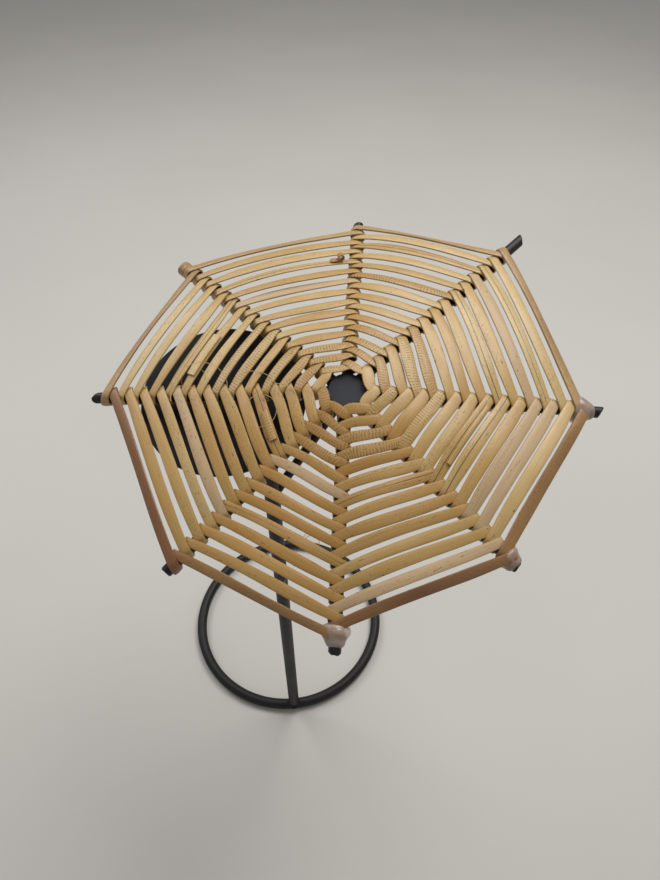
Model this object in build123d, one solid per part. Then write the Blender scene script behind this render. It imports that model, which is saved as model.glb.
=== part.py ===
from build123d import *
import math
import os

os.makedirs("parts", exist_ok=True)

# A small ornamental conical hat of woven cane, on a black iron stand. All sizes are in mm.
# The origin is the middle of the stand's ring, on the surface that the ring lies on, and +Z is up.
# The hat is drawn level, with its hub at the origin, and is then set on the stand by HAT.

# ---- Iron frame of the hat ----
RIM_RADIUS = 93.0  # mean distance from the hub's centre to the rim round, seen from above
CONE_DROP = 8.5  # how much lower the rim is than the hub
ROD_DIAMETER = 4.8
ROD_END_CHAMFER = 0.6
HUB_DIAMETER = 15.6
HUB_THICKNESS = 2.4
HUB_CHAMFER = 0.4

# Each rod was bent and welded by eye, so no two agree:
# name: (direction in degrees, its share of RIM_RADIUS at the rim round, rod past the rim round)
RIBS = {
    "top": (86.0, 0.92, 7.5),
    "upper_right": (45.8, 1.08, 18.5),
    "right": (-3.5, 1.01, 10.5),
    "lower_right": (-48.3, 0.935, 6.5),
    "bottom": (-93.0, 0.99, 8.0),
    "lower_left": (-134.0, 0.98, 7.0),
    "left": (-182.0, 1.05, 8.5),
    "upper_left": (-223.5, 1.01, 4.0),
}

# ---- Cane ----
ROUND_COUNT = 14
FIRST_ROUND_RADIUS = 10.8
CANE_WIDTH = 3.6  # clear of the next round; real rounds are wider and lap over each other
CANE_THICKNESS = 1.2
RIM_CANE_WIDTH = 3.7
RIM_CANE_THICKNESS = 1.4
WRAP_FIT = 0.05  # gap between a rod and the cane wound round it
WRAP_COVER = 0.45  # cane of the wrap over the ends of the spans
WRAP_SPREAD = 0.5  # how much longer a wrap is along the rod than the cane is wide
SPAN_LIFT = 0.3  # a span leaves the wrap a little above the rod
SPAN_LAP = 0.6  # how far two spans run past each other on a rod
FIRST_BOW = 0.02  # how far a span springs up between two rods, as a share of its length
FULL_BOW = 0.055  # the same in the last round before the rim
RIM_BOW = 0.022
SLEEVE_LENGTH = 6.0  # hollow cane end pushed over the shortest rod
SLEEVE_WALL = 1.1
SPLICE_THICKNESS = 0.6
SPLICE_GAP = 0.15  # between a round and a strip laid on it
GLUE_LENGTH = 3.0
GLUE_EDGE = 0.5  # thickness of the glue where it ends on the rod

# ---- Stand ----
RING_RADIUS = 66.0
STAND_ROD_DIAMETER = 7.0
POST_ANGLE = -84.5  # where on the ring the post stands
POST_TO_HUB = (31.6, 16.1)  # from the post's axis to the hub's centre, seen from above
HUB_HEIGHT = 287.5
TILT_FORWARD = 18.4  # the hat leans down at the front
TILT_SIDE = -1.7
STRUT_DIAMETER = 4.0
STRUT_DROP = 48.0  # how far below the hub the strut leaves the post
PLATE_RADIUS = 35.0
PLATE_THICKNESS = 2.0
PLATE_CHAMFER = 0.5
PLATE_GAP = 15.5  # from the hub's centre plane down to the plate's underside
POST_TO_PLATE = (-20.1, 25.0)  # from the post's top to the plate's centre, in the plate's plane
WELD_SIZE = 1.6

# ---- Values worked out from those ----
ROD_RADIUS = ROD_DIAMETER / 2
WRAP_BORE = ROD_RADIUS + WRAP_FIT
HUB_RADIUS = HUB_DIAMETER / 2
STAND_ROD_RADIUS = STAND_ROD_DIAMETER / 2
STRUT_RADIUS = STRUT_DIAMETER / 2
CONE_SLOPE = CONE_DROP / RIM_RADIUS
UP = Vector(0, 0, 1)
POST_PLACE = Vector(RING_RADIUS, 0, 0).rotate(Axis.Z, POST_ANGLE)
HUB_PLACE = POST_PLACE + Vector(*POST_TO_HUB, HUB_HEIGHT)
HAT = Location(HUB_PLACE, (TILT_FORWARD, TILT_SIDE, 0))
NAMES = list(RIBS)
RIM_WRAP_HALF = (RIM_CANE_WIDTH + WRAP_SPREAD) / 2


def rib_point(name, radius):
    """A point on a rod's axis, at this distance from the hub's centre seen from above."""
    angle = math.radians(RIBS[name][0])
    return Vector(radius * math.cos(angle), radius * math.sin(angle), -radius * CONE_SLOPE)


def rib_plane(name, radius):
    """A plane across a rod at this radius, facing outwards."""
    return Plane(origin=rib_point(name, radius), z_dir=rib_point(name, 1.0))


def rim_radius(name):
    return RIBS[name][1] * RIM_RADIUS


def share_out(number):
    """0 for the first round, 1 for the rim round."""
    return (number - 1) / (ROUND_COUNT - 1)


def round_radius(name, number):
    return FIRST_ROUND_RADIUS + (rim_radius(name) - FIRST_ROUND_RADIUS) * share_out(number)


def round_bow(number):
    """Outer spans are longer and spring up more, but the rim was pulled nearly straight."""
    if number == ROUND_COUNT:
        return RIM_BOW
    return FIRST_BOW + (FULL_BOW - FIRST_BOW) * share_out(number)


def cane_section(number):
    """Width and thickness of the cane in one round."""
    if number == ROUND_COUNT:
        return RIM_CANE_WIDTH, RIM_CANE_THICKNESS
    return CANE_WIDTH, CANE_THICKNESS


def wrap_radius(number):
    """Outside of the cane wound round a rod, where both spans end inside it."""
    return WRAP_BORE + SPAN_LIFT + cane_section(number)[1] + WRAP_COVER


def strip(start, end, width, thickness, bow, lap=0.0):
    """A flat strip that springs up between two points on its underside, and laps past both."""
    along = (end - start).normalized()
    start = start - along * lap
    end = end + along * lap
    chord = end - start
    rise = bow * chord.length
    side = Plane(origin=start, x_dir=chord, z_dir=chord.cross(UP))
    far = chord.length
    under = ThreePointArc((0, 0), (far / 2, rise), (far, 0))
    over = ThreePointArc((far, thickness), (far / 2, rise + thickness), (0, thickness))
    far_end = Line((far, 0), (far, thickness))
    near_end = Line((0, thickness), (0, 0))
    face = side * make_face([under, far_end, over, near_end])
    return extrude(face, amount=width / 2, both=True)


def cane_lift(layers=0.0):
    """Height of a strip's underside above the rod's axis, on top of these layers."""
    return UP * (WRAP_BORE + SPAN_LIFT + layers)


def cane_round(number):
    """One turn of the strip: a span to each next rod, and a wrap round each rod."""
    width, thickness = cane_section(number)
    pieces = []
    bores = []
    for name, following in zip(NAMES, NAMES[1:] + NAMES[:1]):
        start = rib_point(name, round_radius(name, number)) + cane_lift()
        end = rib_point(following, round_radius(following, number)) + cane_lift()
        across = rib_plane(name, round_radius(name, number))
        pieces.append(strip(start, end, width, thickness, round_bow(number), SPAN_LAP))
        pieces.append(across * Cylinder(wrap_radius(number), width + WRAP_SPREAD))
        bores.append(across * Cylinder(WRAP_BORE, 2 * width))
    return pieces[0].fuse(*pieces[1:]).cut(*bores)


def span_point(name, following, number, share):
    """A point on the top face of one round's span, this share of the way along it."""
    start = rib_point(name, round_radius(name, number))
    end = rib_point(following, round_radius(following, number))
    rise = 4 * round_bow(number) * (end - start).length * share * (1 - share)
    return start + (end - start) * share + cane_lift(cane_section(number)[1]) + UP * rise


def splice(name, following, number, first, last, width):
    """A second strip laid on top of one round, from one share of its span to another."""
    start = span_point(name, following, number, first)
    end = span_point(name, following, number, last)
    middle = span_point(name, following, number, (first + last) / 2)
    gap = UP * SPLICE_GAP
    rise = (middle - (start + end) * 0.5).length
    return strip(start + gap, end + gap, width, SPLICE_THICKNESS, rise / (end - start).length)


def rod_bar(name):
    """A round rod from inside the hub to its tip."""
    first = HUB_RADIUS / 2
    length = rim_radius(name) + RIBS[name][2] - first
    run = math.hypot(1.0, CONE_SLOPE) * length
    rod = Cylinder(ROD_RADIUS, run, align=(Align.CENTER, Align.CENTER, Align.MIN))
    return rib_plane(name, first) * chamfer(rod.edges().group_by(Axis.Z)[-1], ROD_END_CHAMFER)


def rib(name):
    """A rod that is coped to the hub's round edge, and to the rod before it if they meet."""
    before = NAMES[NAMES.index(name) - 1]
    return rod_bar(name) - Cylinder(HUB_RADIUS, RIM_RADIUS) - rod_bar(before)


def glue(name):
    """A cone of set glue round a rod, against the outer end of the rim's wrap."""
    cone = Cone(wrap_radius(ROUND_COUNT), ROD_RADIUS + GLUE_EDGE, GLUE_LENGTH)
    middle = rim_radius(name) + RIM_WRAP_HALF + WRAP_FIT + GLUE_LENGTH / 2
    return rib_plane(name, middle) * (cone - Cylinder(WRAP_BORE, GLUE_LENGTH))


hub_disc = Cylinder(HUB_RADIUS, HUB_THICKNESS)
hub_disc = chamfer(hub_disc.edges().filter_by(GeomType.CIRCLE), HUB_CHAMFER)
ribs = {name: rib(name) for name in NAMES}
rounds = {number: cane_round(number) for number in range(1, ROUND_COUNT + 1)}

hat = {"hub_disc": hub_disc}
hat.update({f"rib_{name}": solid for name, solid in ribs.items()})
hat.update({f"cane_round_{number:02d}": solid for number, solid in rounds.items()})

sleeve_middle = rim_radius("upper_left") + RIM_WRAP_HALF + WRAP_FIT + SLEEVE_LENGTH / 2
sleeve = Cylinder(WRAP_BORE + SLEEVE_WALL, SLEEVE_LENGTH) - Cylinder(WRAP_BORE, SLEEVE_LENGTH)
hat["cane_sleeve_upper_left"] = rib_plane("upper_left", sleeve_middle) * sleeve
hat["cane_splice_upper_left"] = splice("left", "upper_left", 9, 0.16, 0.62, CANE_WIDTH * 0.9)
hat["cane_splice_right"] = splice("right", "lower_right", 8, 0.2, 0.8, CANE_WIDTH * 0.45)
hat["cane_tail_top"] = splice("upper_left", "top", 11, 0.62, 0.88, CANE_WIDTH * 0.6)
hat["cane_end_lower_left"] = splice("lower_left", "left", 5, 0.25, 0.55, CANE_WIDTH * 0.8)
for name in ("right", "lower_right", "bottom"):
    hat[f"glue_{name}"] = glue(name)

# The plate lies level with the hat, low enough to clear the cane, and rests on the post's cut top.
post_reach = HAT.inverse() * Pos(HUB_PLACE - Vector(*POST_TO_HUB, PLATE_GAP))
plate_middle = post_reach.position + Vector(*POST_TO_PLATE, 0)
plate = Cylinder(PLATE_RADIUS, PLATE_THICKNESS, align=(Align.CENTER, Align.CENTER, Align.MIN))
plate = chamfer(plate.edges().filter_by(GeomType.CIRCLE), PLATE_CHAMFER)
under_plate = HAT * Pos(plate_middle.X, plate_middle.Y, -PLATE_GAP) * plate

ring_place = Pos(0, 0, STAND_ROD_RADIUS)
stand_ring = ring_place * Torus(RING_RADIUS, STAND_ROD_RADIUS)
post_bar = Cylinder(
    STAND_ROD_RADIUS, HUB_HEIGHT, align=(Align.CENTER, Align.CENTER, Align.MIN)
)
post_bar = Pos(POST_PLACE.X, POST_PLACE.Y, STAND_ROD_RADIUS) * post_bar
plate_underside = Plane(HAT * Pos(0, 0, -PLATE_GAP))
stand_post = split(post_bar, bisect_by=plate_underside, keep=Keep.BOTTOM) - stand_ring

# The strut is coped to the post's side and to the hub's underside.
strut_foot = POST_PLACE + UP * (HUB_HEIGHT - STRUT_DROP)
strut_head = HUB_PLACE - Axis(HAT).direction * (HUB_THICKNESS / 2)
strut_run = strut_head - strut_foot
strut_bar = Cylinder(
    STRUT_RADIUS, strut_run.length + STRUT_RADIUS, align=(Align.CENTER, Align.CENTER, Align.MIN)
)
strut_bar = Plane(origin=strut_foot, z_dir=strut_run) * strut_bar
hub_underside = Plane(HAT * Pos(0, 0, -HUB_THICKNESS / 2))
strut_bar = split(strut_bar, bisect_by=hub_underside, keep=Keep.BOTTOM)
hub_strut = strut_bar - stand_post
weld_bead = Cone(STAND_ROD_RADIUS + WELD_SIZE, STAND_ROD_RADIUS, 2 * WELD_SIZE)
weld_foot = Pos(POST_PLACE.X, POST_PLACE.Y, STAND_ROD_DIAMETER) * weld_bead
weld_foot = weld_foot - stand_ring - stand_post

stand = {
    "stand_ring": stand_ring,
    "stand_post": stand_post,
    "weld_foot": weld_foot,
    "hub_strut": hub_strut,
    "under_plate": under_plate,
}
nodes = {node: HAT * solid for node, solid in hat.items()}
nodes.update(stand)

for node, solid in nodes.items():
    export_step(solid, f"parts/{node}.step")
    print(f"{node}: {solid.volume:.1f} mm3")
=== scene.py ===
# %% [markdown]
# # A small woven cane hat on an iron stand
# The real object is a shallow eight-sided cone of split cane. Each turn of the cane is wound once
# round each of eight black iron rods. The rods are welded to a small disc, and the whole hat leans
# forwards on a stand made of a ring and a post.
# The design comes as a fixed frame of named parts, so this first step only loads it and keeps its
# box. Everything that follows is measured from the frame, in metres.

# %% Load the frame
import math
import random

import bmesh
import bpy
import numpy as np
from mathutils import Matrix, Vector, noise


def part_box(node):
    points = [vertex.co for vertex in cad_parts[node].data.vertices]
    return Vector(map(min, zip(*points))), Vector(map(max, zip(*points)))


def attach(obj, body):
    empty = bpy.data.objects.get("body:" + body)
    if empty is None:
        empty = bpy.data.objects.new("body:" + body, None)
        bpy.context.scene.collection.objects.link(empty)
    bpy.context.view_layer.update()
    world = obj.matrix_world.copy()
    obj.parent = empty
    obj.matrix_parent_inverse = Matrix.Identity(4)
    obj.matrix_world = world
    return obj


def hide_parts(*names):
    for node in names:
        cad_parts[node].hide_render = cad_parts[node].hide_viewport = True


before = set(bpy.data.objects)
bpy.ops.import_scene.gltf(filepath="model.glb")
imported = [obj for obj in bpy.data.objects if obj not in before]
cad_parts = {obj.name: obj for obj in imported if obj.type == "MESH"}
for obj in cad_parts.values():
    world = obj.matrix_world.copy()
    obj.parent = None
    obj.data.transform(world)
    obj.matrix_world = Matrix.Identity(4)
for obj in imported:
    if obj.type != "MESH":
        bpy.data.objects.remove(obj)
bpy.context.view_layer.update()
MM = 0.001
CHANCE = random.Random(14)

# %% [markdown]
# ## Camera, floor and light
# A hand held the camera above the front edge of the hat and looked down at about 48 degrees, with
# the wide lens of a phone. A wide lens close by makes the near half of the hat look larger, so the
# place and the lens matter as much as the shape.
# The light is soft: one large light high at the back right, a weaker one at the back left, and a
# pale room all round.

# %% Camera
CAMERA_PLACE = Vector((0.0314, -0.2414, 0.4685))
CAMERA_PITCH = math.radians(47.55)
CAMERA_LENS = 27.0

camera_data = bpy.data.cameras.new("camera")
camera_data.lens = CAMERA_LENS
camera_data.sensor_width = 36.0
camera_data.clip_start = 0.01
camera = bpy.data.objects.new("camera", camera_data)
camera.location = CAMERA_PLACE
camera.rotation_euler = (math.pi / 2 - CAMERA_PITCH, 0, 0)
bpy.context.collection.objects.link(camera)
bpy.context.scene.camera = camera
print("camera looks down", round(math.degrees(CAMERA_PITCH), 1), "degrees")

# %% [markdown]
# ## Helpers for node trees
# Every finish here is a tree of nodes, and the same steps come back: add a node, fill its inputs,
# join it to the next. They could be written out each time. As helpers they keep each shader short.

# %% Helpers for node trees


def node(tree, kind, inputs=(), **settings):
    """Adds a node. A value that is a socket is linked, and any other value is set."""
    made = tree.nodes.new(kind)
    for key, value in settings.items():
        setattr(made, key, value)
    for key, value in dict(inputs).items():
        if isinstance(value, bpy.types.NodeSocket):
            tree.links.new(value, made.inputs[key])
        else:
            made.inputs[key].default_value = value
    return made


def new_material(name):
    """A material with an empty tree, a Principled shader and an output."""
    material = bpy.data.materials.new(name)
    material.use_nodes = True
    tree = material.node_tree
    tree.nodes.clear()
    shader = node(tree, "ShaderNodeBsdfPrincipled")
    output = node(tree, "ShaderNodeOutputMaterial")
    tree.links.new(shader.outputs["BSDF"], output.inputs["Surface"])
    return material, tree, shader


def ramp(tree, factor, stops):
    """A colour ramp from (place, colour) stops. A number stands for a grey."""
    made = node(tree, "ShaderNodeValToRGB", {"Fac": factor})
    bands = made.color_ramp.elements
    while len(bands) < len(stops):
        bands.new(0.5)
    for band, (place, colour) in zip(bands, stops):
        band.position = place
        band.color = (colour, colour, colour, 1) if isinstance(colour, float) else (*colour, 1)
    return made.outputs["Color"]


def mix(tree, factor, first, second, blend="MIX"):
    """Mixes two colours."""
    made = node(tree, "ShaderNodeMix", {0: factor}, data_type="RGBA", blend_type=blend)
    for index, value in ((6, first), (7, second)):
        if isinstance(value, bpy.types.NodeSocket):
            tree.links.new(value, made.inputs[index])
        else:
            made.inputs[index].default_value = (*value, 1)
    return made.outputs[2]


def maths(tree, operation, first, second=0.0, clamp=False):
    made = node(tree, "ShaderNodeMath", {0: first, 1: second}, operation=operation)
    made.use_clamp = clamp
    return made.outputs[0]


print("helpers:", *(made.__name__ for made in (node, new_material, ramp, mix, maths)))

# %% [markdown]
# ## Table and room
# The hat stands on a plain pale table. A faint cloud in its colour keeps a large flat floor from
# looking empty. The floor belongs to the stage and is no piece of the hat.

# %% Floor and lights
FLOOR_HALF = 4.0
bpy.context.scene.view_settings.view_transform = "Standard"

floor_mesh = bpy.data.meshes.new("floor")
corners = [(-1, -1), (1, -1), (1, 1), (-1, 1)]
corners = [(x * FLOOR_HALF, y * FLOOR_HALF, 0) for x, y in corners]
floor_mesh.from_pydata(corners, [], [(0, 1, 2, 3)])
floor = bpy.data.objects.new("floor", floor_mesh)
bpy.context.collection.objects.link(floor)

floor_material, tree, shader = new_material("pale_floor")
coords = node(tree, "ShaderNodeTexCoord").outputs["Object"]
cloud = node(tree, "ShaderNodeTexNoise", {"Vector": coords, "Scale": 3.0, "Detail": 4.0})
tree.links.new(
    ramp(tree, cloud.outputs["Fac"], [(0.3, (0.60, 0.59, 0.565)), (0.7, (0.64, 0.63, 0.605))]),
    shader.inputs["Base Color"],
)
shader.inputs["Roughness"].default_value = 0.7
floor_mesh.materials.append(floor_material)


def area_light(name, place, target, size, power, colour):
    """A square soft light at a place, facing a target."""
    data = bpy.data.lights.new(name, "AREA")
    data.size = size
    data.energy = power
    data.color = colour
    lamp = bpy.data.objects.new(name, data)
    lamp.location = place
    lamp.rotation_euler = (Vector(target) - Vector(place)).to_track_quat("-Z", "Y").to_euler()
    bpy.context.collection.objects.link(lamp)


HAT_TARGET = (0.03, -0.04, 0.28)
ROOM_COLOUR = (1.0, 0.985, 0.95, 1)
ROOM_STRENGTH = 0.29
area_light("ceiling_light", (0.45, 0.42, 1.3), HAT_TARGET, 0.8, 11.0, (1.0, 0.97, 0.92))
area_light("far_light", (-0.65, 0.5, 1.0), HAT_TARGET, 0.6, 3.8, (0.98, 0.98, 1.0))
world = bpy.data.worlds.new("pale_room")
world.use_nodes = True
background = world.node_tree.nodes["Background"]
background.inputs["Color"].default_value = ROOM_COLOUR
background.inputs["Strength"].default_value = ROOM_STRENGTH
bpy.context.scene.world = world
print("stage: floor, 2 lights, pale room")

# %% [markdown]
# ## Where the rods are
# The cane follows the iron, so the weave starts from measured rods. The hub disc gives the middle
# and the upward direction of the hat. The far end of each rod gives its own direction. Each turn of
# cane in the frame has a round bore on every rod, and the middle of that bore is where the real
# strip is wound.

# %% Measure the hub and the rods
NAMES = ("top", "upper_right", "right", "lower_right", "bottom", "lower_left", "left", "upper_left")
ROUNDS = sorted(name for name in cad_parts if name.startswith("cane_round_"))
RIM = ROUNDS[-1]


def vertices_of(name):
    """The different places of a part's vertices, one row each."""
    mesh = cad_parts[name].data
    flat = np.empty(len(mesh.vertices) * 3)
    mesh.vertices.foreach_get("co", flat)
    return np.unique(flat.reshape(-1, 3).round(7), axis=0)


hub_points = vertices_of("hub_disc")
HUB = Vector(hub_points.mean(axis=0))
spread = np.linalg.svd(hub_points - hub_points.mean(axis=0))[2]
UP = Vector(spread[2]) * (1 if spread[2][2] > 0 else -1)
HUB_RADIUS = max((Vector(p) - HUB).length for p in hub_points)
HUB_HALF = max(abs((Vector(p) - HUB).dot(UP)) for p in hub_points)


class Rod:
    """A straight rod: its tip, its direction outwards, and the two directions across it."""

    def __init__(self, name):
        points = vertices_of(f"rib_{name}") - np.array(HUB)
        along = points @ (points.mean(axis=0) / np.linalg.norm(points.mean(axis=0)))
        tip = points[along > along.max() - 0.2 * MM].mean(axis=0)
        self.name = name
        self.out = Vector(tip).normalized()
        self.length = Vector(tip).length
        self.up = (UP - self.out * UP.dot(self.out)).normalized()
        self.across = self.out.cross(self.up)  # clockwise, seen from above
        offsets = points - np.outer(points @ np.array(self.out), np.array(self.out))
        self.radius = float(np.linalg.norm(offsets, axis=1).max())


RODS = [Rod(name) for name in NAMES]
ROD_RADIUS = float(np.mean([rod.radius for rod in RODS]))


def wrap_distance(round_name, rod):
    """How far along a rod one turn of cane is wound, from the bore that the turn has there."""
    points = vertices_of(round_name) - np.array(HUB)
    along = points @ np.array(rod.out)
    off = np.linalg.norm(points - np.outer(along, np.array(rod.out)), axis=1)
    bore = along[(off < rod.radius + 0.1 * MM) & (along > 0)]
    return float(bore.min() + bore.max()) / 2


WOUND = {name: [wrap_distance(name, rod) for rod in RODS] for name in ROUNDS}
print("hub radius mm", round(HUB_RADIUS / MM, 2), "rod radius mm", round(ROD_RADIUS / MM, 2))
print("rim distances mm", [round(d / MM, 1) for d in WOUND[RIM]])

# %% [markdown]
# ## The path of one turn of cane
# A God's-eye weave is one strip that goes over a rod, down its far side, back underneath, up the
# near side and over itself before it goes on to the next rod. Between two rods the strip is free,
# so it springs up in a low arch. It could be drawn by hand once, but there are 14 turns on 8 uneven
# rods, so the path is worked out: an angle round each rod, and a smooth curve that leaves one rod
# and meets the next in the direction in which the strip is already going.
# Each point also keeps the way that the strip faces, so that it lies flat and never twists.

# %% Sizes of the strip
CANE_WIDTH = 4.75 * MM
CANE_THICKNESS = 0.95 * MM
RIM_THICKNESS = 1.15 * MM
CROSSING = 0.26  # half the gap between a strip's two passes over a rod, as a share of the pitch
LAP = 0.8 * MM  # an arriving or leaving strip lies this much higher than one that hugs the rod
NECK = 0.88  # a strip is this much narrower where it is pulled tight round a rod
SHINGLE = math.radians(17)  # each pass leans on the one before it
STAY = 0.3  # radians past its first touch that an arriving strip stays high
FALL, RISE = 1.2, 0.9  # radians in which it then comes down, and in which it rises to leave
LEAN_FALL, LEAN_RISE = 2.0, 1.8  # the same for how it leans
WRAP_STEPS = 30
SPAN_STEP = 2.0 * MM
FIRST_BOW = 0.02
FULL_BOW = 0.056
RIM_BOW = 0.02
OVER_DISC = -0.5 * MM  # the first turn leans in over the edge of the disc
SECTOR_WIDTH = (0.94, 1.12, 1.1, 0.92, 0.85, 1.0, 0.92, 0.88)  # each from one rod to the next
PITCH = (WOUND[RIM][0] - WOUND[ROUNDS[0]][0]) / (len(ROUNDS) - 1)


def smooth(x):
    x = min(max(x, 0.0), 1.0)
    return x * x * (3 - 2 * x)


def hermite(a, da, b, db, t):
    """A cubic from a to b that starts along da and ends along db."""
    return (
        a * (2 * t**3 - 3 * t**2 + 1)
        + da * (t**3 - 2 * t**2 + t)
        + b * (3 * t**2 - 2 * t**3)
        + db * (t**3 - t**2)
    )


print("strip mm wide", round(CANE_WIDTH / MM, 2), "pitch mm", round(PITCH / MM, 2))

# %% [markdown]
# ## One turn, rod by rod
# A turn is a wrap and a span for each of the eight rods. One class holds them, so that each span
# starts exactly where the wrap before it ended.

# %% Path of a turn


class Turn:
    """One turn of the strip: its points, the way it faces, and how wide it is."""

    def __init__(self, number, distances, thickness):
        self.number = number
        self.distances = [d + CHANCE.uniform(-0.4, 0.4) * MM for d in distances]
        self.centres = [HUB + rod.out * d for rod, d in zip(RODS, self.distances)]
        self.share = (number - 1) / (len(ROUNDS) - 1)
        self.is_rim = number == len(ROUNDS)
        self.low = ROD_RADIUS + thickness / 2 + 0.05 * MM
        self.high = self.low + LAP
        self.side_step = PITCH * CROSSING * (0.6 if number == 1 else 1.0)
        self.slim = 0.95 if number <= 2 else 1.0
        self.points, self.faces, self.girth, self.place = [], [], [], []
        bow = RIM_BOW if self.is_rim else FIRST_BOW + (FULL_BOW - FIRST_BOW) * self.share
        self.leans = [math.atan(4 * bow * CHANCE.uniform(0.7, 1.3)) for _ in RODS]
        for index in range(len(RODS)):
            self.wrap(index)
            self.span(index)
        self.square_faces()

    def slope(self, index, here, there):
        """How fast the strip moves out along a rod, for each step across it."""
        way = self.centres[there] - self.centres[here]
        rod = RODS[index]
        return way.dot(rod.out) / way.dot(rod.across)

    def add(self, point, face, girth, place):
        self.points.append(point)
        self.faces.append(face)
        self.girth.append(girth * self.slim)
        self.place.append(place)

    def wrap(self, index):
        """Over the rod, down its far side, back underneath, and up over the first pass."""
        rod = RODS[index]
        before, after = index - 1, (index + 1) % len(RODS)
        first, last = self.leans[before], 2 * math.pi - self.leans[index]
        length = self.low * (last - first)
        slope_in = self.slope(index, before, index) * length
        slope_out = self.slope(index, index, after) * length
        for step in range(WRAP_STEPS + 1):
            t = step / WRAP_STEPS
            angle = first + (last - first) * t
            shift = hermite(-self.side_step, slope_in, self.side_step, slope_out, t)
            since, until = angle - first - STAY, angle - last
            lifted = 1 - smooth(since / FALL) + smooth((until + RISE) / RISE)
            leaned = 1 - smooth(since / LEAN_FALL) + smooth((until + LEAN_RISE) / LEAN_RISE)
            spoke = rod.up * math.cos(angle) + rod.across * math.sin(angle)
            point = self.centres[index] + rod.out * shift + spoke * (self.low + LAP * lifted)
            lean = SHINGLE * leaned
            face = spoke * math.cos(lean) + rod.out * math.sin(lean)
            width = SECTOR_WIDTH[before] * (1 - t) + SECTOR_WIDTH[index] * t
            self.add(point, face, width * NECK, index)

    def span(self, index):
        """The free arch from one rod to the next."""
        after = (index + 1) % len(RODS)
        here, there = RODS[index], RODS[after]
        lean = self.leans[index]
        start, end_side = self.points[-1], there.out * self.side_step
        spoke = there.up * math.cos(lean) + there.across * math.sin(lean)
        end = self.centres[after] - end_side + spoke * self.high
        going = here.across * math.cos(lean) + here.up * math.sin(lean)
        going = going + here.out * self.slope(index, index, after)
        coming = there.across * math.cos(lean) - there.up * math.sin(lean)
        coming = coming + there.out * self.slope(after, index, after)
        length = (end - start).length
        leave, meet = going.normalized() * length, coming.normalized() * length
        steps = max(8, int(length / SPAN_STEP))
        girth = SECTOR_WIDTH[index] * CHANCE.uniform(0.93, 1.07)
        swell = CHANCE.uniform(-0.07, 0.07)
        roll = math.radians(30 if self.is_rim else 9) + CHANCE.uniform(-0.1, 0.1)
        drift = CHANCE.uniform(-0.6, 0.6) * MM
        if self.number == 1:
            drift = OVER_DISC
        for step in range(1, steps):
            t = step / steps
            point = hermite(start, leave, end, meet, t)
            up = here.up.lerp(there.up, t)
            out = here.out.lerp(there.out, t).normalized()
            arch = math.sin(math.pi * t)
            turned = SHINGLE + (roll - SHINGLE) * arch
            face = up * math.cos(turned) + out * math.sin(turned)
            blend = smooth(min(t, 1 - t) * 3.5)
            width = SECTOR_WIDTH[index] * NECK * (1 - blend) + girth * blend
            width += swell * math.sin(2 * math.pi * t)
            self.add(point + out * drift * arch, face, width, index + t)

    def square_faces(self):
        """Turns each face so that it is square to the strip."""
        count = len(self.points)
        for i in range(count):
            way = (self.points[(i + 1) % count] - self.points[i - 1]).normalized()
            self.faces[i] = (self.faces[i] - way * self.faces[i].dot(way)).normalized()


turns = {}
for number, name in enumerate(ROUNDS, start=1):
    thickness = RIM_THICKNESS if name == RIM else CANE_THICKNESS
    turns[name] = Turn(number, WOUND[name], thickness)
print("turns:", len(turns), "points in the rim:", len(turns[RIM].points))

# %% [markdown]
# ## Sweeping the strip with Geometry Nodes
# Split cane is flat underneath and rounded on its glossy side. The same section is swept along all
# the paths, so this is work for a small node tree: it reads the path and the way it faces, turns it
# into a curve, and pulls the section along it. The tree ends with a real mesh and its material.

# %% The section and the sweep
SECTION_SIDES = 16
CRISP_EDGE = 0.75  # radians: an edge that turns more than this is shaded crisp
CROWN_POWER = 0.6  # below 1, the glossy side is flatter in the middle than a circle
CROWN_HEIGHT = 0.55  # of the glossy side, as a share of the thickness
FLAT_DEPTH = -0.35  # of the flat underside, as a share of the thickness


def group_with(name, sockets):
    """An empty geometry tree with a geometry input, these inputs, and a geometry output."""
    group = bpy.data.node_groups.new(name, "GeometryNodeTree")
    group.interface.new_socket("Geometry", in_out="INPUT", socket_type="NodeSocketGeometry")
    for label, kind in sockets:
        group.interface.new_socket(label, in_out="INPUT", socket_type=kind)
    group.interface.new_socket("Geometry", in_out="OUTPUT", socket_type="NodeSocketGeometry")
    return group, node(group, "NodeGroupInput"), node(group, "NodeGroupOutput")


def named(tree, name, kind):
    """Reads an attribute by name."""
    made = node(tree, "GeometryNodeInputNamedAttribute", data_type=kind)
    made.inputs["Name"].default_value = name
    return made.outputs["Attribute"]


def geometry_maths(tree, operation, first, second=0.0):
    return node(tree, "ShaderNodeMath", {0: first, 1: second}, operation=operation).outputs[0]


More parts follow.
